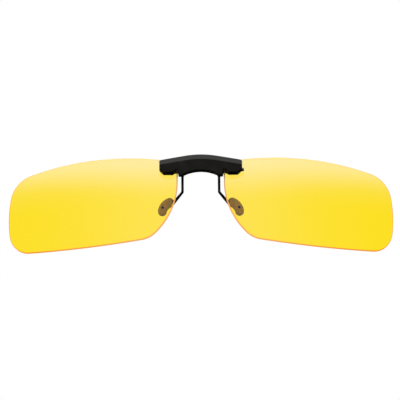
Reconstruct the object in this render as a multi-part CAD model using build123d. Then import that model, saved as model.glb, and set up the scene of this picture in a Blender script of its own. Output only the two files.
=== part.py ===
"""Clip-on flip-up lenses: two rimless tinted lenses on a moulded bridge, hinged on a sprung spectacle clip.

Everything is drawn in millimetres about the hinge pin: X runs across the face, -Y is the front that looks
away from the wearer, +Z is up, and the pin's axis is the X axis. export_all then moves every piece so that
the origin lies midway between the four grip pads, where a spectacle lens is held. "right" is the +X side.
"""

from build123d import *
from math import atan2, cos, degrees, radians, sin, sqrt
import os

# ---- lenses -------------------------------------------------------------------------------------------
LENS_RADIUS = 103.0  # front surface of the curved blank
LENS_THICK = 1.0
LENS_WRAP = 12.0  # degrees that each lens turns back from the face plane
LENS_CENTRE = (36.2, -1.1, -12.0)  # middle of the right lens's front surface
LENS_HALF_INNER = 28.1  # from the middle to the straight edge beside the nose
LENS_TAB_TOP = 1.7  # the corner in the socket is cut down to this height
LENS_TAB_END = 13.75
LENS_BLANK_DEPTHS = (-5, 12)  # the curved blank lies between these, about its middle
FAR = 10.0  # past everything near the bridge

# ---- bridge bar and lens sockets ----------------------------------------------------------------------
BAR_HALF = 13.7
BAR_FRONT = -6.3
BAR_FRONT_RADIUS = 120.0  # the bar's bow, seen from above
BAR_REAR = -4.3
BAR_TOP = 3.78
TOP_ARC_HALF = 5.0
TOP_ARC_RADIUS = 33.0
BEVEL_DROP = 2.0
BEVEL_DEPTH = 1.2
BAR_END_ROUND = 0.7
BAR_EDGE_ROUND = 0.3  # along every edge of the front face and its bevel
BAR_CORNER_ROUND = 0.4  # at the low corners of the sockets and feet
SADDLE_HALF = 7.5  # the part between the sockets, with a foot at each of its ends
FOOT_BOTTOM = -3.85
ARCH_HALF = 6.2
ARCH_TOP = -2.2
SOCKET_BOTTOM = -2.75
SOCKET_CHAMFER = 1.4
SOCKET_NOTCH = -1.9
SOCKET_ROOF = 1.75
SOCKET_REAR = -0.6
SOCKET_INNER_CORNER = (1.8, 0.6)  # where the slope beside the foot starts and ends, from the saddle's end
FOOT_TAPER = 0.1
SOCKET_FRONT = -5.0  # no socket reaches further forward than this
KEEPER_BOTTOM = -1.5
KEEPER_FROM, KEEPER_TO = 7.7, 13.6
PEG_R = 0.6  # a short pin in the right-hand end of the bar, its end left standing out
PEG_FROM, PEG_TO = 12.45, 14.3
PEG_Y, PEG_Z = -4.6, -1.5

# ---- hinge --------------------------------------------------------------------------------------------
PIN_R = 0.6
PIN_HALF = 12.9
PIN_END_ROUND = 0.2
RUNNING = 0.04  # radial clearance where a piece turns on the pin
BARREL_R = 1.4
BARREL_FROM, BARREL_TO = 7.6, 12.3
WASHER_FROM, WASHER_TO, WASHER_R = 7.37, 7.57, 1.35
CHEEK_FROM, CHEEK_TO, CHEEK_R = 5.5, 7.35, 1.7
KNUCKLE_FROM, KNUCKLE_TO, KNUCKLE_R = 4.3, 5.35, 1.3
LENS_PIN_R = 0.35
LENS_PIN_X = (9.4, 12.0)
LENS_PIN_Z = -0.95
LENS_PIN_DEPTH = 4.4  # how far forward its blind end lies

# ---- grip: wires, pads, spring ------------------------------------------------------------------------
WIRE_R = 0.4
WIRE_X = 6.1
WIRE_BENDS = [0.9, 0.9, 0.45]
WIRE_PROUD = 0.05  # how far its cut end stands out of the pad's face
FRONT_WIRE_Y, REAR_WIRE_Y = -1.7, 3.6
FRONT_WIRE_TOP, REAR_WIRE_TOP = 1.3, 1.6
FRONT_BEND_Z, REAR_BEND_Z = -8.3, -6.6
GRIP_Y = 1.85  # plane where the two jaws meet
GRIP_Z = -12.5
PAD_THICK = 1.5
PAD_GAP = 0.1
PAD_HALF_WIDTH = 1.45
PAD_ARC_CENTRE = (8.8, -14.7)  # x and z of the centre that the pad curves around
PAD_ARC_RADIUS = 4.1
PAD_ARC_FROM, PAD_ARC_TO = 66.5, 11.0
PAD_EDGE = 0.4
WIRE_IN_PAD = (9.6, -11.5)  # x and z where the wire bends into the pad's middle
WIRE_TIP = (12.7, -13.1)  # x and z where its end turns out to the pad's face
COIL_FROM, COIL_TO = 2.6, 4.1
COIL_R = 0.8
SPRING_WIRE_R = 0.15
COIL_TURNS = 4
SPRING_TILT = 19.0  # degrees that the rear legs rise, to pass over the lever's cross bar
SPRING_LEG = 4.3  # from the coil back to the loop
SPRING_FRONT = 3.0  # from the coil forward into the beam

# ---- jaw frame and thumb lever: outlines as (y, z) points seen from the side ---------------------------
BEAM_Y, BEAM_Z = (-3.6, -2.4), (-1.4, 1.8)
BEAM_ROUND = 0.3
STOP_HALF = 4.5  # the ledge that the bar's back rests against when the lenses are down
STOP_BACK = -3.3
STOP_GAP = 0.1
STOP_Z = (-1.6, -0.8)
CHEEK_OUTLINE = [
    (-3.6, -1.4),
    (-2.6, -2.7),
    (-1.1, -2.7),
    (-1.1, -1.3),
    (0.0, -1.3),
    (0.0, 1.4),
    (-1.2, 1.8),
    (-3.6, 1.8),
]
THUMB_HALF = 8.8
THUMB_LOW = (5.5, 1.7)  # y and z of the middle of the thumb plate's foot
THUMB_TOP = (7.2, 5.1)
THUMB_THICK = 1.2
THUMB_CORNER = 2.0
THUMB_EDGE_ROUND = 0.35
JAW_EDGE_ROUND = 0.2  # on the edges of the cheeks, arms, cross bar and wire bosses
RIDGE_R = 0.25
RIDGE_AT = (0.3, 0.5, 0.7)  # shares of the plate's height
RIDGE_MARGIN = 2.2  # from a ridge's end to the plate's side
CROSS_HALF = 7.1
CROSS_OUTLINE = [(3.0, 0.6), (4.4, 0.95), (6.2, 1.5), (5.3, 2.35), (3.0, 1.5)]
ARM_OUTLINE = [(0.0, -1.1), (3.1, 0.4), (3.1, 1.8), (0.0, KNUCKLE_R)]
WIRE_BOSS = [(5.35, 6.85), (2.95, 4.35), (-0.4, 2.0)]  # the block around the top of a rear wire


def block(x, y, z):
    """A box given by its ranges along X, Y and Z."""
    size = [abs(r[1] - r[0]) for r in (x, y, z)]
    middle = [(r[0] + r[1]) / 2 for r in (x, y, z)]
    return Pos(*middle) * Box(*size)


def rod_x(radius, start, end, y=0.0, z=0.0):
    """A cylinder along X between two stations."""
    return Pos((start + end) / 2, y, z) * Rot(0, 90, 0) * Cylinder(radius, abs(end - start))


def rod_y(radius, start, end, x, z):
    """A cylinder along Y between two depths."""
    return Pos(x, (start + end) / 2, z) * Rot(90, 0, 0) * Cylinder(radius, abs(end - start))


def from_front(sketch, front, back):
    """A sketch drawn as seen from the front (x across, y up), made solid between two depths."""
    return Pos(0, back, 0) * extrude(Plane.XZ * sketch, back - front)


def from_side(points, start, end):
    """A polygon of (y, z) points made solid between two stations along X."""
    face = Plane.YZ * make_face(Polyline(*points, close=True))
    return Pos(start, 0, 0) * extrude(face, end - start)


def tube(points, radii, radius):
    """A round wire along straight runs joined by arcs, one radius for each corner."""
    path = FilletPolyline(*points, radius=radii)
    return sweep(Plane(origin=path @ 0, z_dir=path % 0) * Circle(radius), path=path)


def mirrored(shape):
    return mirror(shape, about=Plane.YZ)


def rounded_outside(plate):
    """Rounds the edges of the outer flat face of a right-hand side plate."""
    edges = plate.edges().filter_by(lambda e: e.bounding_box().size.X < 0.01)
    return fillet(edges.group_by(Axis.X)[-1], JAW_EDGE_ROUND)


# ---- lenses -------------------------------------------------------------------------------------------
def lens_place():
    """The frame of the right lens: X outward, Y back, Z up, from the middle of its front surface."""
    return Pos(*LENS_CENTRE) * Rot(0, 0, LENS_WRAP)


def lens_ball(radius):
    """The ball that a lens surface of this radius belongs to, in the right lens's frame."""
    return Pos(0, LENS_RADIUS, 0) * Sphere(radius)


def lens_outline():
    """The cut shape, as four long arcs and the short straight edge beside the nose, with rounded corners."""
    top_inner = (-LENS_HALF_INNER, 14.3)
    top_outer = (28.1, 11.2)
    low_outer = (28.35, -14.0)
    low_inner = (-18.8, -12.4)
    nose_top = (-LENS_HALF_INNER, 7.0)
    edges = [
        ThreePointArc(top_inner, (-8.0, 15.85), top_outer),
        ThreePointArc(top_outer, (30.05, -1.8), low_outer),
        ThreePointArc(low_outer, (6.0, -14.75), low_inner),
        ThreePointArc(low_inner, (-26.0, -3.35), nose_top),
        Line(nose_top, top_inner),
    ]
    face = make_face(edges)
    corners = {top_inner: 1.5, top_outer: 9.1, low_outer: 7.8, low_inner: 8.5}
    for corner, radius in corners.items():
        vertex = face.vertices().sort_by_distance(corner)[0]
        face = fillet(vertex, radius)
    return face


def lens_right():
    blank = from_front(lens_outline(), *LENS_BLANK_DEPTHS)
    lens = lens_place() * ((blank & lens_ball(LENS_RADIUS)) - lens_ball(LENS_RADIUS - LENS_THICK))
    lens -= block((0, LENS_TAB_END), (-FAR, FAR), (LENS_TAB_TOP, FAR))
    return lens - lens_pins_right()


def lens_pins_right():
    """Two plain pins that lock a lens in its socket, pressed in from behind."""
    return Part() + [rod_y(LENS_PIN_R, -LENS_PIN_DEPTH, SOCKET_REAR, x, LENS_PIN_Z) for x in LENS_PIN_X]


# ---- bridge bar ---------------------------------------------------------------------------------------
def bar_outline():
    """The bar as seen from the front: a bowed top, an arch over the nose, a socket at each end."""
    shoulder = BAR_TOP - TOP_ARC_HALF**2 / (2 * TOP_ARC_RADIUS)
    end_top = shoulder - (BAR_HALF - TOP_ARC_HALF) * TOP_ARC_HALF / TOP_ARC_RADIUS
    side = [
        (TOP_ARC_HALF, shoulder),
        (BAR_HALF, end_top),
        (BAR_HALF, SOCKET_BOTTOM + SOCKET_CHAMFER),
        (BAR_HALF - SOCKET_CHAMFER, SOCKET_BOTTOM),
        (SADDLE_HALF + SOCKET_INNER_CORNER[0], SOCKET_BOTTOM),
        (SADDLE_HALF + SOCKET_INNER_CORNER[1], SOCKET_NOTCH),
        (SADDLE_HALF, SOCKET_NOTCH),
        (SADDLE_HALF - FOOT_TAPER, FOOT_BOTTOM),
        (ARCH_HALF, FOOT_BOTTOM),
    ]
    other = [(-x, z) for x, z in side]
    edges = [
        ThreePointArc(other[0], (0, BAR_TOP), side[0]),
        Polyline(*side),
        ThreePointArc(side[-1], (0, ARCH_TOP), other[-1]),
        Polyline(*other),
    ]
    return make_face(edges)


def bridge_bar():
    outline = bar_outline()
    corners = outline.vertices()
    low_corners = [v for v in corners if v.Y < SOCKET_BOTTOM + 0.1 and abs(v.X) > ARCH_HALF + 0.1]
    low_corners += [v for v in corners if v.Y < 0 and abs(v.X) > BAR_HALF - 0.1]
    outline = fillet(low_corners, BAR_CORNER_ROUND)
    bar = from_front(outline, BAR_FRONT, SOCKET_REAR)
    bow = Pos(0, BAR_FRONT + BAR_FRONT_RADIUS, 0) * Cylinder(BAR_FRONT_RADIUS, 30)
    bar &= bow
    top_front = bar.edges().filter_by(lambda e: e.center().Z > 1.9 and e.center().Y < BAR_REAR)
    top_front = top_front.filter_by(lambda e: abs(e.center().X) < BAR_HALF - 0.1)
    front_face = bar.faces().sort_by(Axis.Y)[0]
    bar = chamfer(top_front, length=BEVEL_DROP, length2=BEVEL_DEPTH, reference=front_face)
    top_corners = [v for v in outline.vertices() if v.Y > 1.5 and abs(v.X) > BAR_HALF - 0.1]
    bar &= from_front(fillet(top_corners, BAR_END_ROUND), BAR_FRONT - 1, SOCKET_REAR + 1)
    front_edges = [e for e in bar.edges() if e.bounding_box().max.Y < BAR_REAR - 0.05]
    bar = fillet(front_edges, BAR_EDGE_ROUND)
    bar -= block((-SADDLE_HALF, SADDLE_HALF), (BAR_REAR, FAR), (-FAR, FAR))
    socket = block((SADDLE_HALF, BAR_HALF + 1), (SOCKET_FRONT, FAR), (-FAR, SOCKET_ROOF))
    socket &= lens_place() * lens_ball(LENS_RADIUS)
    socket += lens_pins_right()
    return bar - socket - mirrored(socket) - end_peg()


def end_peg():
    peg = rod_x(PEG_R, PEG_FROM, PEG_TO, PEG_Y, PEG_Z)
    return fillet(peg.edges().filter_by(GeomType.CIRCLE).sort_by(Axis.X)[-1], PIN_END_ROUND)


def lens_keeper_right():
    """The plate behind a lens, with the barrel that turns on the hinge pin."""
    plate = block((KEEPER_FROM, KEEPER_TO), (SOCKET_FRONT, SOCKET_REAR), (KEEPER_BOTTOM, LENS_TAB_TOP))
    low_corner = Pos(KEEPER_TO, 0, KEEPER_BOTTOM) * Rot(0, 45, 0) * Box(SOCKET_CHAMFER * sqrt(2), FAR, 2)
    plate -= low_corner
    plate &= lens_place() * lens_ball(LENS_RADIUS - LENS_THICK)
    keeper = plate + rod_x(BARREL_R, BARREL_FROM, BARREL_TO)
    keeper -= rod_x(PIN_R + RUNNING, BARREL_FROM - 1, BARREL_TO + 1)
    return keeper - lens_pins_right()


# ---- hinge pin and washers ----------------------------------------------------------------------------
def hinge_pin():
    pin = rod_x(PIN_R, -PIN_HALF, PIN_HALF)
    return fillet(pin.edges().filter_by(GeomType.CIRCLE), PIN_END_ROUND)


def washer_right():
    return rod_x(WASHER_R, WASHER_FROM, WASHER_TO) - rod_x(PIN_R + RUNNING, WASHER_FROM - 1, WASHER_TO + 1)


# ---- wires --------------------------------------------------------------------------------------------
def wire_right(y, top, bend_z, towards):
    """A jaw's right-hand wire: down from its moulding, out into its pad, and to the pad's outer face.

    towards is the side of the grip plane that its pad lies on: -1 in front, 1 behind.
    """
    in_pad = GRIP_Y + towards * (PAD_THICK + PAD_GAP) / 2
    tip = GRIP_Y + towards * (PAD_THICK + PAD_GAP / 2 + WIRE_PROUD)
    points = [
        (WIRE_X, y, top),
        (WIRE_X, y, bend_z),
        (WIRE_IN_PAD[0], in_pad, WIRE_IN_PAD[1]),
        (WIRE_TIP[0], in_pad, WIRE_TIP[1]),
        (WIRE_TIP[0], tip, WIRE_TIP[1]),
    ]
    return tube(points, WIRE_BENDS, WIRE_R)


def front_wire_right():
    return wire_right(FRONT_WIRE_Y, FRONT_WIRE_TOP, FRONT_BEND_Z, -1)


def rear_wire_right():
    return wire_right(REAR_WIRE_Y, REAR_WIRE_TOP, REAR_BEND_Z, 1)


# ---- jaws ---------------------------------------------------------------------------------------------
def jaw_frame():
    """The fixed moulding: two cheeks on the pin, joined by a beam behind the bar that carries its stop."""
    beam = block((-CHEEK_FROM, CHEEK_FROM), BEAM_Y, BEAM_Z)
    beam = fillet(beam.edges().filter_by(Axis.X), BEAM_ROUND)
    stop = block((-STOP_HALF, STOP_HALF), (BAR_REAR + STOP_GAP, STOP_BACK), STOP_Z)
    cheek = from_side(CHEEK_OUTLINE, CHEEK_FROM, CHEEK_TO) + rod_x(CHEEK_R, CHEEK_FROM, CHEEK_TO)
    cheek = rounded_outside(cheek)
    frame = beam + stop + cheek + mirrored(cheek)
    frame -= rod_x(PIN_R, -CHEEK_TO - 1, CHEEK_TO + 1)
    leg_hole = rod_y(SPRING_WIRE_R, -SPRING_FRONT, -2, COIL_TO, COIL_R)
    frame -= leg_hole + mirrored(leg_hole)
    wire = front_wire_right()
    return frame - wire - mirrored(wire)


def thumb_lever():
    """The rear moulding: knuckles on the pin, a cross bar with the wires, and the plate that is pressed."""
    run = (Vector(0, *THUMB_TOP) - Vector(0, *THUMB_LOW)).length
    lean = degrees(atan2(THUMB_TOP[0] - THUMB_LOW[0], THUMB_TOP[1] - THUMB_LOW[1]))
    plate = Pos(0, 0, run / 2) * Box(2 * THUMB_HALF, THUMB_THICK, run)
    plate = fillet(plate.edges().filter_by(Axis.Y).group_by(Axis.Z)[-1], THUMB_CORNER)
    plate = fillet(plate.edges(), THUMB_EDGE_ROUND)
    ridge_half = THUMB_HALF - RIDGE_MARGIN
    for share in RIDGE_AT:
        plate += rod_x(RIDGE_R, -ridge_half, ridge_half, THUMB_THICK / 2, share * run)
    plate = Pos(0, *THUMB_LOW) * Rot(-lean, 0, 0) * plate
    cross = from_side(CROSS_OUTLINE, -CROSS_HALF, CROSS_HALF)
    cross = fillet(cross.edges(), JAW_EDGE_ROUND)
    arm = from_side(ARM_OUTLINE, KNUCKLE_FROM, KNUCKLE_TO) + rod_x(KNUCKLE_R, KNUCKLE_FROM, KNUCKLE_TO)
    arm = rounded_outside(arm)
    arm += fillet(block(*WIRE_BOSS).edges(), JAW_EDGE_ROUND)
    lever = plate + cross + arm + mirrored(arm)
    lever -= rod_x(PIN_R + RUNNING, -KNUCKLE_TO - 1, KNUCKLE_TO + 1)
    wire = rear_wire_right()
    return lever - wire - mirrored(wire)


# ---- pads and spring ----------------------------------------------------------------------------------
def pad_right(front, back, wire):
    """A soft bean-shaped pad between two depths, moulded around the end of its wire."""
    at = [
        (
            PAD_ARC_CENTRE[0] + PAD_ARC_RADIUS * cos(radians(a)),
            PAD_ARC_CENTRE[1] + PAD_ARC_RADIUS * sin(radians(a)),
        )
        for a in (PAD_ARC_FROM, (PAD_ARC_FROM + PAD_ARC_TO) / 2, PAD_ARC_TO)
    ]
    bean = SlotArc(ThreePointArc(*at), height=2 * PAD_HALF_WIDTH)
    pad = from_front(bean, front, back)
    pad = fillet(pad.edges().filter_by(lambda e: abs(e.bounding_box().size.Y) < 0.01), PAD_EDGE)
    return pad - wire


def torsion_spring():
    """A double torsion spring: coils on the pin, front legs in the jaw's beam, a loop over the lever."""
    length = COIL_TO - COIL_FROM
    turns = COIL_TURNS - SPRING_TILT / 360
    # a helix climbs along Z from the +X side: turn it onto the pin, with its far end at the pin's top
    on_pin = Pos(COIL_FROM, 0, 0) * Rot(0, 90, 0) * Rot(0, 0, 180 + SPRING_TILT)
    coil = on_pin * Helix(pitch=length / turns, height=length, radius=COIL_R)
    tilt = radians(SPRING_TILT)
    rear = coil @ 0 + Vector(0, cos(tilt), sin(tilt)) * SPRING_LEG
    loop = FilletPolyline((0, rear.Y, rear.Z), rear, coil @ 0, radius=0.5)
    front = Line(coil @ 1, coil @ 1 - Vector(0, SPRING_FRONT, 0))
    path = Wire([*loop.edges(), *coil.edges(), *front.edges()])
    half = sweep(Plane(origin=path @ 0, z_dir=path % 0) * Circle(SPRING_WIRE_R), path=path)
    return half + mirrored(half)


def both(name, shape):
    return {f"{name}_right": shape, f"{name}_left": mirrored(shape)}


def export_all():
    front_wire, rear_wire = front_wire_right(), rear_wire_right()
    half_gap = PAD_GAP / 2
    pieces = {
        "bridge_bar": bridge_bar(),
        "end_peg": end_peg(),
        "hinge_pin": hinge_pin(),
        "jaw_frame": jaw_frame(),
        "thumb_lever": thumb_lever(),
        "torsion_spring": torsion_spring(),
        **both("lens", lens_right()),
        **both("lens_keeper", lens_keeper_right()),
        **both("lens_pins", lens_pins_right()),
        **both("friction_washer", washer_right()),
        **both("front_wire", front_wire),
        **both("rear_wire", rear_wire),
        **both("front_pad", pad_right(GRIP_Y - half_gap - PAD_THICK, GRIP_Y - half_gap, front_wire)),
        **both("rear_pad", pad_right(GRIP_Y + half_gap, GRIP_Y + half_gap + PAD_THICK, rear_wire)),
    }
    to_grip = Pos(0, -GRIP_Y, -GRIP_Z)
    os.makedirs("parts", exist_ok=True)
    for name, shape in pieces.items():
        export_step(to_grip * shape, f"parts/{name}.step")


export_all()
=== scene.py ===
"""Clip-on flip-up lenses: the visible model and its studio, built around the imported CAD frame.

Everything is in metres in the row frame: X runs across the face, -Y is the front, +Z is up, and the origin
lies between the four grip pads. "right" is the +X side.
"""

import math

import bpy
from mathutils import Matrix, Vector


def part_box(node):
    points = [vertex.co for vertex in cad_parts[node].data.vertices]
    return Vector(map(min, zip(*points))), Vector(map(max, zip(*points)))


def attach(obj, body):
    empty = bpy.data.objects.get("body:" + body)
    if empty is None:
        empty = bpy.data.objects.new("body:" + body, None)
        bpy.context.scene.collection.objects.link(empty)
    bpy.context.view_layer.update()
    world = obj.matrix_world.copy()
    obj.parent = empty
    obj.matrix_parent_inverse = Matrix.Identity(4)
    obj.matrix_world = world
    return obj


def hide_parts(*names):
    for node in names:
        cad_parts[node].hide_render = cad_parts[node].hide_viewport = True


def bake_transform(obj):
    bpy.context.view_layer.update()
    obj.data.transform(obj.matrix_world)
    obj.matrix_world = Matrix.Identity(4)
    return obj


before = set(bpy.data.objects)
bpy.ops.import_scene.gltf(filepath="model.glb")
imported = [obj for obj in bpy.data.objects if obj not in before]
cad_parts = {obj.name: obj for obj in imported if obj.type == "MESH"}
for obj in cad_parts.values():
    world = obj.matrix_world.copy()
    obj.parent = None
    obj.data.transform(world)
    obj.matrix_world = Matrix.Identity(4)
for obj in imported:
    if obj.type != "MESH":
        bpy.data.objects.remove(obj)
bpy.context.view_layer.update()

MM = 0.001
SIDES = {"right": 1, "left": -1}
PIN_MIDDLE = Vector((0, -1.85, 12.5)) * MM

# ---- lenses ----
LENS_RADIUS = 103.0 * MM
LENS_THICK = 1.0 * MM
LENS_WRAP = math.radians(12)
LENS_MIDDLE = Vector((36.2, -2.95, 0.5)) * MM  # middle of the right lens's front surface
LENS_EDGE_ROUND = 0.22 * MM
LENS_EDGE_STEPS = 4
LENS_RINGS = 14
LENS_SMOOTHING = 60
LENS_INNER_REACH = 0.93  # share of the outline that the smoothed inner rings spread to
RIM_SPACING = 0.6 * MM
RIM_TOLERANCE = 0.003 * MM  # how near the front surface a vertex of the CAD lens's front edge lies
# the lens colour is made paler towards the top and a little by the nose, between these heights and sides
TINT_FULL = (0.995, 0.765, 0.016)
TINT_PALE = (1.0, 0.80, 0.18)
TINT_FULL_HEIGHT, TINT_PALE_HEIGHT = -2.0 * MM, 13.5 * MM
TINT_TOP_SHARE = 0.77
TINT_NOSE_FROM, TINT_NOSE_TO = 15.0 * MM, 58.0 * MM
TINT_NOSE_SHARE = 0.2
TINT_CLOUD_SHARE = 0.02

# ---- pads ----
PAD_ARC_MIDDLE = Vector((8.8, 0, -2.2)) * MM
PAD_ARC_RADIUS = 4.1 * MM
PAD_ARC_FROM = math.radians(66.5)
PAD_ARC_TO = math.radians(11)
PAD_HALF_WIDTH = 1.45 * MM
PAD_THICK = 1.5 * MM
PAD_GAP = 0.1 * MM
PAD_CROWN = 0.16 * MM
PAD_OUTER_ROUND = 0.6 * MM
PAD_GRIP_ROUND = 0.35 * MM
PAD_SEAM = 0.02 * MM
PAD_ARC_STEPS = 20
PAD_CAP_STEPS = 18
PAD_ROUND_STEPS = 6
PAD_GRIP_SHARES = (0.96, 0.7, 0.45)  # rings across the gripping face, as shares of the half width
PAD_CROWN_SHARES = (0.55, 0.7, 0.85, 0.96)  # rings across the crowned outer face

# ---- spring ----
COIL_RADIUS = 0.8 * MM
COIL_FROM = 2.6 * MM
COIL_TO = 4.1 * MM
COIL_TURNS = 4
SPRING_WIRE = 0.15 * MM
SPRING_TILT = math.radians(19)
SPRING_LEG = 4.3 * MM
SPRING_FRONT = 3.0 * MM
SPRING_BEND = 0.5 * MM
SPRING_COIL_STEPS = 120
SPRING_BEND_STEPS = 6
SPRING_SIDES = 12
SPRING_SHARES = (0.25, 0.5, 0.75)  # points along a straight leg

# ---- surfaces, each colour pair a darker and a lighter end ----
PLASTIC_COLOURS = (0.0042, 0.0036, 0.0022), (0.009, 0.008, 0.0055)
WIRE_COLOURS = (0.003, 0.0028, 0.0026), (0.012, 0.010, 0.009)
PIN_COLOURS = (0.05, 0.048, 0.046), (0.09, 0.087, 0.083)
SPRING_COLOURS = (0.42, 0.41, 0.40), (0.62, 0.61, 0.59)
# the pads' warm brown is partly painted yellow light, standing in for light that reaches them through the
# lenses
SILICONE_AND_LENS_LIGHT_COLOURS = (0.265, 0.185, 0.155), (0.305, 0.215, 0.19)
RIM_COLOURS = (1.0, 0.29, 0.004), (1.0, 0.37, 0.01)
RIM_PALE = (1.0, 0.90, 0.50)
COAT_TINT = (0.08, 0.2, 1.0, 1.0)
PLASTIC_IOR = 1.21
WIRE_IOR = 1.25
SILICONE_IOR = 1.41
LENS_IOR = 1.6
RIM_IOR = 1.2
PIN_ROUGHNESS = 0.28, 0.42
SPRING_ROUGHNESS = 0.2, 0.34
PIN_GRAIN = (300, 4000, 4000)  # how tightly the drawn grain repeats along each axis
SPRING_GRAIN = (4000, 500, 4000)

# ---- camera ----
CAMERA_DISTANCE = 0.6
CAMERA_RISE = math.radians(18)  # the camera looks up at the object
CAMERA_ROLL = math.radians(-0.35)
CAMERA_AIM = Vector((-0.3, 1.24, 2.99)) * MM
SENSOR = 36.0
VIEW_WIDTH = 0.3335 * 400 * MM  # width of the picture at the aim
CLIP_NEAR, CLIP_FAR = 0.05, 20

# ---- floor ----
FLOOR_HEIGHT = -0.7
FLOOR_REACH = 4.0
FLOOR_COLOURS = (0.84, 0.84, 0.84), (0.87, 0.87, 0.87)

# ---- studio light, as radiance ----
BACKDROP_LEVEL = 1.0
TENT_LEVEL = 2.5
TENT_ASIDE = math.radians(50)  # how far to each side the tent's soft edge goes on changing
TENT_FOOT_MIDDLE, TENT_FOOT_ASIDE = math.radians(17.4), math.radians(23.3)
TENT_TOP_MIDDLE, TENT_TOP_ASIDE = math.radians(37.8), math.radians(34.9)
GROUND_FADE_FROM, GROUND_FADE_TO = math.radians(-8), math.radians(4)
PATCH_LEVEL = 0.53  # a dim patch low in front, a little to the left
PATCH_BEARING = math.radians(-3)
PATCH_REACH = math.radians(40)
LOW_LEFT = 0.18
LOW_RIGHT = 0.05
UNDER_LEVEL = 0.1
MATT_LEVEL = 1.12  # what falls on matt surfaces, evenly from all sides


def mesh_piece(name, points, faces, normals=None):
    """A smooth-shaded mesh object in the scene."""
    mesh = bpy.data.meshes.new(name)
    mesh.from_pydata([tuple(p) for p in points], [], faces)
    mesh.update()
    mesh.shade_smooth()
    if normals:
        mesh.normals_split_custom_set_from_vertices([tuple(n) for n in normals])
    piece = bpy.data.objects.new(name, mesh)
    bpy.context.scene.collection.objects.link(piece)
    return piece


def ring_faces(start, other, count, flip=False):
    """Quads that join two closed rings of count points."""
    faces = []
    for i in range(count):
        j = (i + 1) % count
        quad = (start + i, start + j, other + j, other + i)
        faces.append(quad[::-1] if flip else quad)
    return faces


# ---- node helpers ----
def new_material(name):
    material = bpy.data.materials.new(name)
    material.use_nodes = True
    shader = material.node_tree.nodes["Principled BSDF"]
    return material, material.node_tree, shader


def add(tree, kind, **values):
    """A node with its properties and its unlinked inputs set by name."""
    node = tree.nodes.new(kind)
    for key, value in values.items():
        if hasattr(node, key):
            setattr(node, key, value)
        else:
            node.inputs[key.replace("_", " ")].default_value = value
    return node


def object_place(tree):
    return tree.nodes.new("ShaderNodeTexCoord").outputs["Object"]


def noise_field(tree, scale, detail=3.0, rough=0.5):
    node = add(tree, "ShaderNodeTexNoise", Scale=scale, Detail=detail, Roughness=rough)
    tree.links.new(object_place(tree), node.inputs["Vector"])
    return node.outputs["Fac"]


def join(tree, value, socket):
    """Links a socket, or sets it if the value is a plain number."""
    if isinstance(value, (int, float)):
        socket.default_value = value
    else:
        tree.links.new(value, socket)


def spread(tree, source, low, high, to_low=0.0, to_high=1.0, kind="LINEAR"):
    """Stretches part of a value's range onto another range."""
    node = add(tree, "ShaderNodeMapRange", interpolation_type=kind)
    for index, value in enumerate((source, low, high, to_low, to_high)):
        join(tree, value, node.inputs[index])
    return node.outputs[0]


def maths(tree, operation, first, second=None):
    node = add(tree, "ShaderNodeMath", operation=operation)
    join(tree, first, node.inputs[0])
    if second is not None:
        join(tree, second, node.inputs[1])
    return node.outputs[0]


def mix_colours(tree, share, first, second):
    node = tree.nodes.new("ShaderNodeMix")
    node.data_type = "RGBA"
    tree.links.new(share, node.inputs[0])
    for socket, value in ((node.inputs[6], first), (node.inputs[7], second)):
        if isinstance(value, tuple):
            socket.default_value = (*value, 1)
        else:
            tree.links.new(value, socket)
    return node.outputs[2]


def add_bump(tree, shader, height, distance, strength=1.0):
    bump = add(tree, "ShaderNodeBump", Strength=strength, Distance=distance)
    tree.links.new(height, bump.inputs["Height"])
    tree.links.new(bump.outputs["Normal"], shader.inputs["Normal"])


# ---- materials ----
def black_plastic():
    """Moulded nylon: nearly black, with a fine eroded grain and faint handling marks."""
    material, tree, shader = new_material("black_plastic_look")
    marks = noise_field(tree, 260.0, 4.0, 0.6)
    share = spread(tree, marks, 0.52, 0.72)
    colour = mix_colours(tree, share, *PLASTIC_COLOURS)
    tree.links.new(colour, shader.inputs["Base Color"])
    tree.links.new(spread(tree, marks, 0.3, 0.7, 0.24, 0.34), shader.inputs["Roughness"])
    shader.inputs["IOR"].default_value = PLASTIC_IOR
    grain = noise_field(tree, 5200.0, 2.0, 0.55)
    add_bump(tree, shader, grain, 0.012 * MM, 0.5)
    return material


def wire_black():
    """Steel wire under a thin black lacquer that is a little uneven."""
    material, tree, shader = new_material("wire_black_look")
    patches = noise_field(tree, 900.0, 3.0, 0.6)
    colour = mix_colours(tree, spread(tree, patches, 0.5, 0.75), *WIRE_COLOURS)
    tree.links.new(colour, shader.inputs["Base Color"])
    tree.links.new(spread(tree, patches, 0.3, 0.7, 0.26, 0.4), shader.inputs["Roughness"])
    shader.inputs["IOR"].default_value = WIRE_IOR
    add_bump(tree, shader, noise_field(tree, 3000.0, 2.0), 0.01 * MM, 0.4)
    return material


def steel(name, colours, roughness, streak):
    """Drawn metal, its grain drawn out along the axis where it repeats least tightly."""
    material, tree, shader = new_material(name)
    stretch = add(tree, "ShaderNodeMapping")
    stretch.inputs["Scale"].default_value = streak
    tree.links.new(object_place(tree), stretch.inputs["Vector"])
    grain = add(tree, "ShaderNodeTexNoise", Scale=1.0, Detail=3.0)
    tree.links.new(stretch.outputs["Vector"], grain.inputs["Vector"])
    share = spread(tree, grain.outputs["Fac"], 0.35, 0.65)
    tree.links.new(mix_colours(tree, share, *colours), shader.inputs["Base Color"])
    rough = spread(tree, grain.outputs["Fac"], 0.3, 0.7, *roughness)
    tree.links.new(rough, shader.inputs["Roughness"])
    shader.inputs["Metallic"].default_value = 1.0
    add_bump(tree, shader, grain.outputs["Fac"], 0.006 * MM, 0.4)
    return material


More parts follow.
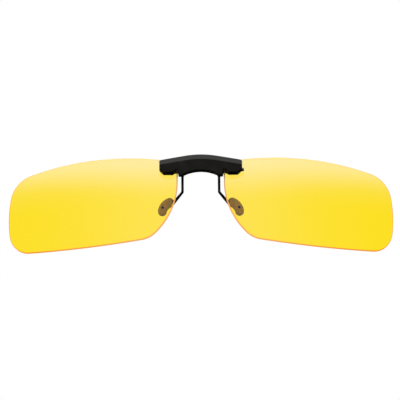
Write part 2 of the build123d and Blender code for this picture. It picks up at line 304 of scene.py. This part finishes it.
def silicone():
    """Soft warm grey silicone, slightly cloudy, with a matt moulded skin; part of its warm brown is painted
    yellow light, standing in for the light that reaches the pads through the lenses.
    """
    material, tree, shader = new_material("pad_silicone_look")
    cloud = noise_field(tree, 700.0, 3.0, 0.55)
    colour = mix_colours(tree, spread(tree, cloud, 0.35, 0.65), *SILICONE_AND_LENS_LIGHT_COLOURS)
    tree.links.new(colour, shader.inputs["Base Color"])
    tree.links.new(spread(tree, cloud, 0.3, 0.7, 0.42, 0.58), shader.inputs["Roughness"])
    shader.inputs["IOR"].default_value = SILICONE_IOR
    shader.inputs["Subsurface Weight"].default_value = 0.35
    shader.inputs["Subsurface Radius"].default_value = (1.0, 0.8, 0.7)
    shader.inputs["Subsurface Scale"].default_value = 0.6 * MM
    add_bump(tree, shader, noise_field(tree, 4000.0, 2.0), 0.02 * MM, 0.4)
    return material


def lens_paleness(tree):
    """How pale the lens's colour is made, from 0 to 1: paler towards the top and a little by the nose."""
    split = tree.nodes.new("ShaderNodeSeparateXYZ")
    tree.links.new(object_place(tree), split.inputs[0])
    rise = spread(tree, split.outputs[2], TINT_FULL_HEIGHT, TINT_PALE_HEIGHT)
    top = maths(tree, "MULTIPLY", maths(tree, "MULTIPLY", rise, rise), TINT_TOP_SHARE)
    aside = maths(tree, "ABSOLUTE", split.outputs[0])
    nose = spread(tree, aside, TINT_NOSE_FROM, TINT_NOSE_TO, TINT_NOSE_SHARE, 0.0)
    cloud = spread(tree, noise_field(tree, 60.0, 2.0), 0.3, 0.7, 0.0, TINT_CLOUD_SHARE)
    return maths(tree, "ADD", maths(tree, "ADD", top, nose), cloud)


def tinted_lens():
    """Yellow polished plastic with a bluish anti-reflection coat."""
    material, tree, shader = new_material("lens_tint_look")
    tree.links.new(mix_colours(tree, lens_paleness(tree), TINT_FULL, TINT_PALE), shader.inputs["Base Color"])
    shader.inputs["Roughness"].default_value = 0.0
    shader.inputs["Transmission Weight"].default_value = 1.0
    shader.inputs["IOR"].default_value = LENS_IOR
    shader.inputs["Specular Tint"].default_value = COAT_TINT
    return material


def ground_rim():
    """The lens's ground edge: matt and orange, paler where the lens's colour is made paler, with the
    grinder's scratches.
    """
    material, tree, shader = new_material("lens_rim_look")
    scratches = noise_field(tree, 2500.0, 3.0, 0.6)
    deep = mix_colours(tree, scratches, *RIM_COLOURS)
    tree.links.new(mix_colours(tree, lens_paleness(tree), deep, RIM_PALE), shader.inputs["Base Color"])
    tree.links.new(spread(tree, scratches, 0.3, 0.7, 0.45, 0.6), shader.inputs["Roughness"])
    shader.inputs["IOR"].default_value = RIM_IOR
    add_bump(tree, shader, scratches, 0.01 * MM, 0.3)
    return material


LOOKS = {
    "black_plastic": black_plastic(),
    "wire_black": wire_black(),
    "pin_steel": steel("pin_steel_look", PIN_COLOURS, PIN_ROUGHNESS, PIN_GRAIN),
    "spring_steel": steel("spring_steel_look", SPRING_COLOURS, SPRING_ROUGHNESS, SPRING_GRAIN),
    "pad_silicone": silicone(),
    "lens_tint": tinted_lens(),
    "lens_rim": ground_rim(),
}


def dress(piece, slot):
    """Gives a piece the look of one of the record's material slots."""
    piece.data.materials.clear()
    piece.data.materials.append(LOOKS[slot])
    return piece


# ---- building the lenses ----
class LensPlace:
    """Turns a lens's own coordinates (u outward, v up, depth from the front surface) into the row frame."""

    def __init__(self, side):
        self.side = side
        self.outward = Vector((math.cos(LENS_WRAP), math.sin(LENS_WRAP), 0))
        self.inward = Vector((-math.sin(LENS_WRAP), math.cos(LENS_WRAP), 0))
        self.ball = LENS_MIDDLE + self.inward * LENS_RADIUS

    def flip(self, point):
        return Vector((self.side * point.x, point.y, point.z))

    def to_uv(self, point):
        offset = self.flip(point) - LENS_MIDDLE
        return Vector((offset.dot(self.outward), offset.z))

    def at(self, uv, depth):
        """The point at (u, v) on the surface that lies depth behind the front one."""
        radius = LENS_RADIUS - depth
        back = LENS_RADIUS - math.sqrt(radius**2 - uv.length_squared)
        point = LENS_MIDDLE + self.outward * uv.x + self.inward * back + Vector((0, 0, uv.y))
        return self.flip(point)

    def normal(self, point):
        """The front surface's normal, which points away from the ball's centre."""
        return self.flip(self.flip(point) - self.ball).normalized()


def lens_rim(node, place, pins):
    """The lens's outline as (u, v) points in order, read from the front edge of the CAD lens."""
    low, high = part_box(pins)
    ball = place.flip(place.ball)
    found = {}
    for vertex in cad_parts[node].data.vertices:
        ray = vertex.co - ball
        on_front = abs(ray.length - LENS_RADIUS) < RIM_TOLERANCE
        on_rim = abs(vertex.normal.dot(ray.normalized())) < 0.5
        in_hole = low.x < vertex.co.x < high.x and low.z < vertex.co.z < high.z
        if on_front and on_rim and not in_hole:
            uv = place.to_uv(vertex.co)
            found[round(math.atan2(uv.y, uv.x), 5)] = uv
    corners = [found[angle] for angle in sorted(found)]
    rim = []
    for i, point in enumerate(corners):
        after = corners[(i + 1) % len(corners)]
        pieces = max(1, round((after - point).length / RIM_SPACING))
        rim += [point.lerp(after, step / pieces) for step in range(pieces)]
    return rim


def smoothed(loop, rounds):
    """A closed loop with its corners eased, so that the lens's inner rings have no kinks."""
    for _ in range(rounds):
        loop = [(loop[i - 1] + point * 2 + loop[(i + 1) % len(loop)]) / 4 for i, point in enumerate(loop)]
    return loop


def build_lens(side_name):
    side = SIDES[side_name]
    place = LensPlace(side)
    rim = lens_rim(f"lens_{side_name}", place, f"lens_pins_{side_name}")
    count = len(rim)
    outward = []
    for i in range(count):
        along = rim[(i + 1) % count] - rim[i - 1]
        outward.append(Vector((along.y, -along.x)).normalized())
    points, normals = [], []

    def add_ring(uvs, depth, face_share, edge_share):
        for i, uv in enumerate(uvs):
            point = place.at(uv, depth)
            across = place.outward * outward[i].x + Vector((0, 0, outward[i].y))
            points.append(point)
            normals.append((place.normal(point) * face_share + place.flip(across) * edge_share).normalized())

    def inset(distance):
        return [uv - out * distance for uv, out in zip(rim, outward)]

    shares = [math.sin(math.pi / 2 * ring / LENS_RINGS) for ring in range(1, LENS_RINGS + 1)]
    turns = [math.pi / 2 * step / LENS_EDGE_STEPS for step in range(1, LENS_EDGE_STEPS + 1)]
    edge = inset(LENS_EDGE_ROUND)
    smooth_edge = smoothed(edge, LENS_SMOOTHING)
    inner_rings = [[uv * share * LENS_INNER_REACH for uv in smooth_edge] for share in shares[:-1]]
    inner_rings.append(edge)
    for ring in inner_rings:
        add_ring(ring, 0, 1, 0)
    for turn in turns:
        depth = LENS_EDGE_ROUND * (1 - math.cos(turn))
        add_ring(inset(LENS_EDGE_ROUND * (1 - math.sin(turn))), depth, math.cos(turn), math.sin(turn))
    for turn in reversed(turns):
        depth = LENS_THICK - LENS_EDGE_ROUND * (1 - math.cos(turn))
        add_ring(inset(LENS_EDGE_ROUND * (1 - math.sin(turn))), depth, -math.cos(turn), math.sin(turn))
    for ring in reversed(inner_rings):
        add_ring(ring, LENS_THICK, -1, 0)
    faces = []
    rings = len(points) // count
    for ring in range(rings - 1):
        faces += ring_faces(ring * count, (ring + 1) * count, count, flip=side > 0)
    for depth, first in ((0, 0), (LENS_THICK, (rings - 1) * count)):
        middle = len(points)
        points.append(place.at(Vector((0, 0)), depth))
        normals.append(place.normal(points[-1]) * (1 if depth == 0 else -1))
        for i in range(count):
            fan = (middle, first + i, first + (i + 1) % count)
            faces.append(fan[::-1] if (side > 0) == (depth > 0) else fan)
    lens = mesh_piece(f"tinted_lens_{side_name}", points, faces, normals)
    dress(lens, "lens_tint")
    lens.data.materials.append(LOOKS["lens_rim"])
    first_rim_face = (LENS_RINGS - 1) * count
    for face in lens.data.polygons[first_rim_face : first_rim_face + (2 * LENS_EDGE_STEPS + 1) * count]:
        face.material_index = 1
    lens.visible_shadow = False
    lens.visible_diffuse = False
    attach(lens, "lens_carrier")
    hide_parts(f"lens_{side_name}")


# ---- building the pads ----
def pad_contour(half_width):
    """A closed bean outline at this half width, as (x, z) points of the right side, in order."""
    span = PAD_ARC_TO - PAD_ARC_FROM

    def on_arc(angle, radius):
        x = PAD_ARC_MIDDLE.x + radius * math.cos(angle)
        return Vector((x, PAD_ARC_MIDDLE.z + radius * math.sin(angle)))

    def cap(angle, start):
        """The half circle round one end of the centreline."""
        turns = [start - math.pi * i / PAD_CAP_STEPS for i in range(PAD_CAP_STEPS)]
        end = on_arc(angle, PAD_ARC_RADIUS)
        return [end + half_width * Vector((math.cos(t), math.sin(t))) for t in turns]

    angles = [PAD_ARC_FROM + span * i / PAD_ARC_STEPS for i in range(PAD_ARC_STEPS + 1)]
    outer = [on_arc(angle, PAD_ARC_RADIUS + half_width) for angle in angles[:-1]]
    inner = [on_arc(angle, PAD_ARC_RADIUS - half_width) for angle in angles[:0:-1]]
    return outer + cap(PAD_ARC_TO, PAD_ARC_TO) + inner + cap(PAD_ARC_FROM, PAD_ARC_FROM + math.pi)


def pad_profile():
    """The pad's section from the middle of its gripping face to the middle of its crowned outer face, as
    (distance in from the edge, height above the gripping face)."""
    quarter = [math.pi / 2 * i / PAD_ROUND_STEPS for i in range(PAD_ROUND_STEPS + 1)]
    shoulder = PAD_THICK - PAD_CROWN
    section = [(PAD_HALF_WIDTH * share, 0.0) for share in PAD_GRIP_SHARES]
    section += [(PAD_GRIP_ROUND * (1 - math.sin(t)), PAD_GRIP_ROUND * (1 - math.cos(t))) for t in quarter]
    middle = (PAD_GRIP_ROUND + shoulder - PAD_OUTER_ROUND) / 2
    section += [(0.0, middle - PAD_SEAM), (-PAD_SEAM, middle), (0.0, middle + PAD_SEAM)]
    for turn in reversed(quarter):
        fall = PAD_OUTER_ROUND * (1 - math.cos(turn))
        section.append((PAD_OUTER_ROUND * (1 - math.sin(turn)), shoulder - fall))
    for share in PAD_CROWN_SHARES:
        fall = (1 - share) / (1 - PAD_OUTER_ROUND / PAD_HALF_WIDTH)
        section.append((PAD_HALF_WIDTH * share, PAD_THICK - PAD_CROWN * fall**2))
    return section


def build_pad(row, side_name, body):
    """A moulded silicone pad with a crowned outer face and a fine seam round its edge."""
    side = SIDES[side_name]
    facing = -1 if row == "front" else 1  # the way its outer face looks along Y
    points = []
    section = pad_profile()
    for inset, height in section:
        y = facing * (PAD_GAP / 2 + height)
        points += [Vector((side * p.x, y, p.y)) for p in pad_contour(PAD_HALF_WIDTH - PAD_SEAM - inset)]
    count = len(points) // len(section)
    flip = side * facing > 0
    faces = []
    for ring in range(len(section) - 1):
        faces += ring_faces(ring * count, (ring + 1) * count, count, flip)
    first = list(range(count))
    last = list(range(len(points) - count, len(points)))
    faces += [tuple(first if flip else first[::-1]), tuple(last[::-1] if flip else last)]
    pad = mesh_piece(f"{row}_silicone_pad_{side_name}", points, faces)
    dress(pad, "pad_silicone")
    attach(pad, body)
    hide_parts(f"{row}_pad_{side_name}")


# ---- torsion spring ----
def spring_route():
    """The spring's centreline from its left front leg round both coils to its right front leg."""
    start = SPRING_TILT  # the rear leg leaves the coil along this direction, from the coil's far side
    right = []
    top = math.pi / 2
    turned = 2 * math.pi * COIL_TURNS - SPRING_TILT
    for i in range(SPRING_COIL_STEPS + 1):
        share = i / SPRING_COIL_STEPS
        angle = top + start + turned * share
        x = COIL_FROM + (COIL_TO - COIL_FROM) * share
        right.append(Vector((x, COIL_RADIUS * math.cos(angle), COIL_RADIUS * math.sin(angle))))
    rear = right[0] + Vector((0, math.cos(start), math.sin(start))) * SPRING_LEG
    corner = []
    for i in range(SPRING_BEND_STEPS + 1):
        angle = math.pi / 2 * i / SPRING_BEND_STEPS
        corner.append(
            rear
            - Vector((SPRING_BEND, 0, 0)) * (1 - math.sin(angle))
            - Vector((0, math.cos(start), math.sin(start))) * SPRING_BEND * (1 - math.cos(angle))
        )
    leg = [rear.lerp(right[0], share) for share in SPRING_SHARES]
    front = [right[-1] - Vector((0, SPRING_FRONT * share, 0)) for share in (*SPRING_SHARES, 1)]
    half = corner + leg + right + front
    other = [Vector((-p.x, p.y, p.z)) for p in reversed(half)]
    return [PIN_MIDDLE + p for p in other + half]


def build_spring():
    route = spring_route()
    sides = SPRING_SIDES
    points, faces = [], []
    across = Vector((1, 0, 0))
    for i, middle in enumerate(route):
        along = (route[min(i + 1, len(route) - 1)] - route[max(i - 1, 0)]).normalized()
        across = (across - along * across.dot(along)).normalized()
        other = along.cross(across)
        for k in range(sides):
            turn = 2 * math.pi * k / sides
            points.append(middle + (across * math.cos(turn) + other * math.sin(turn)) * SPRING_WIRE)
        if i:
            faces += ring_faces((i - 1) * sides, i * sides, sides, flip=False)
    faces.append(tuple(reversed(range(sides))))
    faces.append(tuple(range(len(points) - sides, len(points))))
    spring = mesh_piece("wound_spring", points, faces)
    dress(spring, "spring_steel")
    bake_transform(spring)
    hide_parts("torsion_spring")


# ---- carried-over CAD pieces ----
CAD_LOOKS = {
    "bridge_bar": "black_plastic",
    "jaw_frame": "black_plastic",
    "thumb_lever": "black_plastic",
    "hinge_pin": "pin_steel",
    "end_peg": "pin_steel",
    "lens_keeper": "black_plastic",
    "lens_pins": "pin_steel",
    "friction_washer": "pin_steel",
    "front_wire": "wire_black",
    "rear_wire": "wire_black",
}
for base, look in CAD_LOOKS.items():
    for name in (base, f"{base}_right", f"{base}_left"):
        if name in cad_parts:
            dress(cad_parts[name], look)

for name in SIDES:
    build_lens(name)
    build_pad("front", name, "grip_frame")
    build_pad("rear", name, "rear_lever")
build_spring()


# ---- studio ----
def floor():
    reach = FLOOR_REACH
    corners = [(-reach, -reach), (reach, -reach), (reach, reach), (-reach, reach)]
    ground = mesh_piece("studio_floor", [Vector((x, y, FLOOR_HEIGHT)) for x, y in corners], [(0, 1, 2, 3)])
    material, tree, shader = new_material("studio_floor_look")
    colour = mix_colours(tree, noise_field(tree, 3.0), *FLOOR_COLOURS)
    tree.links.new(colour, shader.inputs["Base Color"])
    shader.inputs["Roughness"].default_value = 0.7
    ground.data.materials.append(material)
    ground.visible_diffuse = False
    ground.visible_glossy = False
    ground.visible_transmission = False


def world_light():
    """White all round for the eye, through the lenses and as light on matt surfaces. Reflections see a tent:
    bright above a soft edge that is lower and softer in front of the nose, dim below it, dark underneath."""
    world = bpy.data.worlds.new("studio")
    bpy.context.scene.world = world
    world.use_nodes = True
    tree = world.node_tree
    background = tree.nodes["Background"]
    background.inputs["Color"].default_value = (1, 1, 1, 1)
    direction = tree.nodes.new("ShaderNodeTexCoord").outputs["Generated"]
    split = tree.nodes.new("ShaderNodeSeparateXYZ")
    tree.links.new(direction, split.inputs[0])
    east, north, up = split.outputs
    height = maths(tree, "ARCSINE", up)
    bearing = maths(tree, "ARCTAN2", east, maths(tree, "MULTIPLY", north, -1.0))
    aside = maths(tree, "ABSOLUTE", bearing)
    edge_low = spread(tree, aside, 0, TENT_ASIDE, TENT_FOOT_MIDDLE, TENT_FOOT_ASIDE)
    edge_high = spread(tree, aside, 0, TENT_ASIDE, TENT_TOP_MIDDLE, TENT_TOP_ASIDE)
    tent = spread(tree, height, edge_low, edge_high, 0.0, TENT_LEVEL, "SMOOTHSTEP")
    patch = maths(tree, "ABSOLUTE", maths(tree, "SUBTRACT", bearing, PATCH_BEARING))
    patch = spread(tree, patch, 0, PATCH_REACH, PATCH_LEVEL, 0.0, "SMOOTHSTEP")
    side = spread(tree, bearing, -1.0, 1.0, LOW_LEFT, LOW_RIGHT)
    low = maths(tree, "ADD", patch, side)
    above_ground = spread(tree, height, GROUND_FADE_FROM, GROUND_FADE_TO, UNDER_LEVEL, 1.0)
    light = maths(tree, "ADD", tent, maths(tree, "MULTIPLY", low, above_ground))
    path = tree.nodes.new("ShaderNodeLightPath")
    mirrored = maths(tree, "GREATER_THAN", path.outputs["Glossy Depth"], 0.5)
    scattered = maths(tree, "GREATER_THAN", path.outputs["Diffuse Depth"], 0.5)
    level = spread(tree, mirrored, 0, 1, BACKDROP_LEVEL, light)
    tree.links.new(spread(tree, scattered, 0, 1, level, MATT_LEVEL), background.inputs["Strength"])


def camera():
    data = bpy.data.cameras.new("camera")
    eye = bpy.data.objects.new("camera", data)
    bpy.context.scene.collection.objects.link(eye)
    bpy.context.scene.camera = eye
    data.sensor_width = SENSOR
    data.lens = SENSOR * CAMERA_DISTANCE / VIEW_WIDTH
    data.clip_start, data.clip_end = CLIP_NEAR, CLIP_FAR
    forward = Vector((0, math.cos(CAMERA_RISE), math.sin(CAMERA_RISE)))
    up = Vector((0, -math.sin(CAMERA_RISE), math.cos(CAMERA_RISE)))
    right = Vector((1, 0, 0))
    turn = Matrix((right, up, -forward)).transposed() @ Matrix.Rotation(CAMERA_ROLL, 3, "Z")
    eye.matrix_world = Matrix.LocRotScale(CAMERA_AIM - forward * CAMERA_DISTANCE, turn.to_quaternion(), None)


floor()
world_light()
camera()
bpy.context.scene.view_settings.view_transform = "Standard"
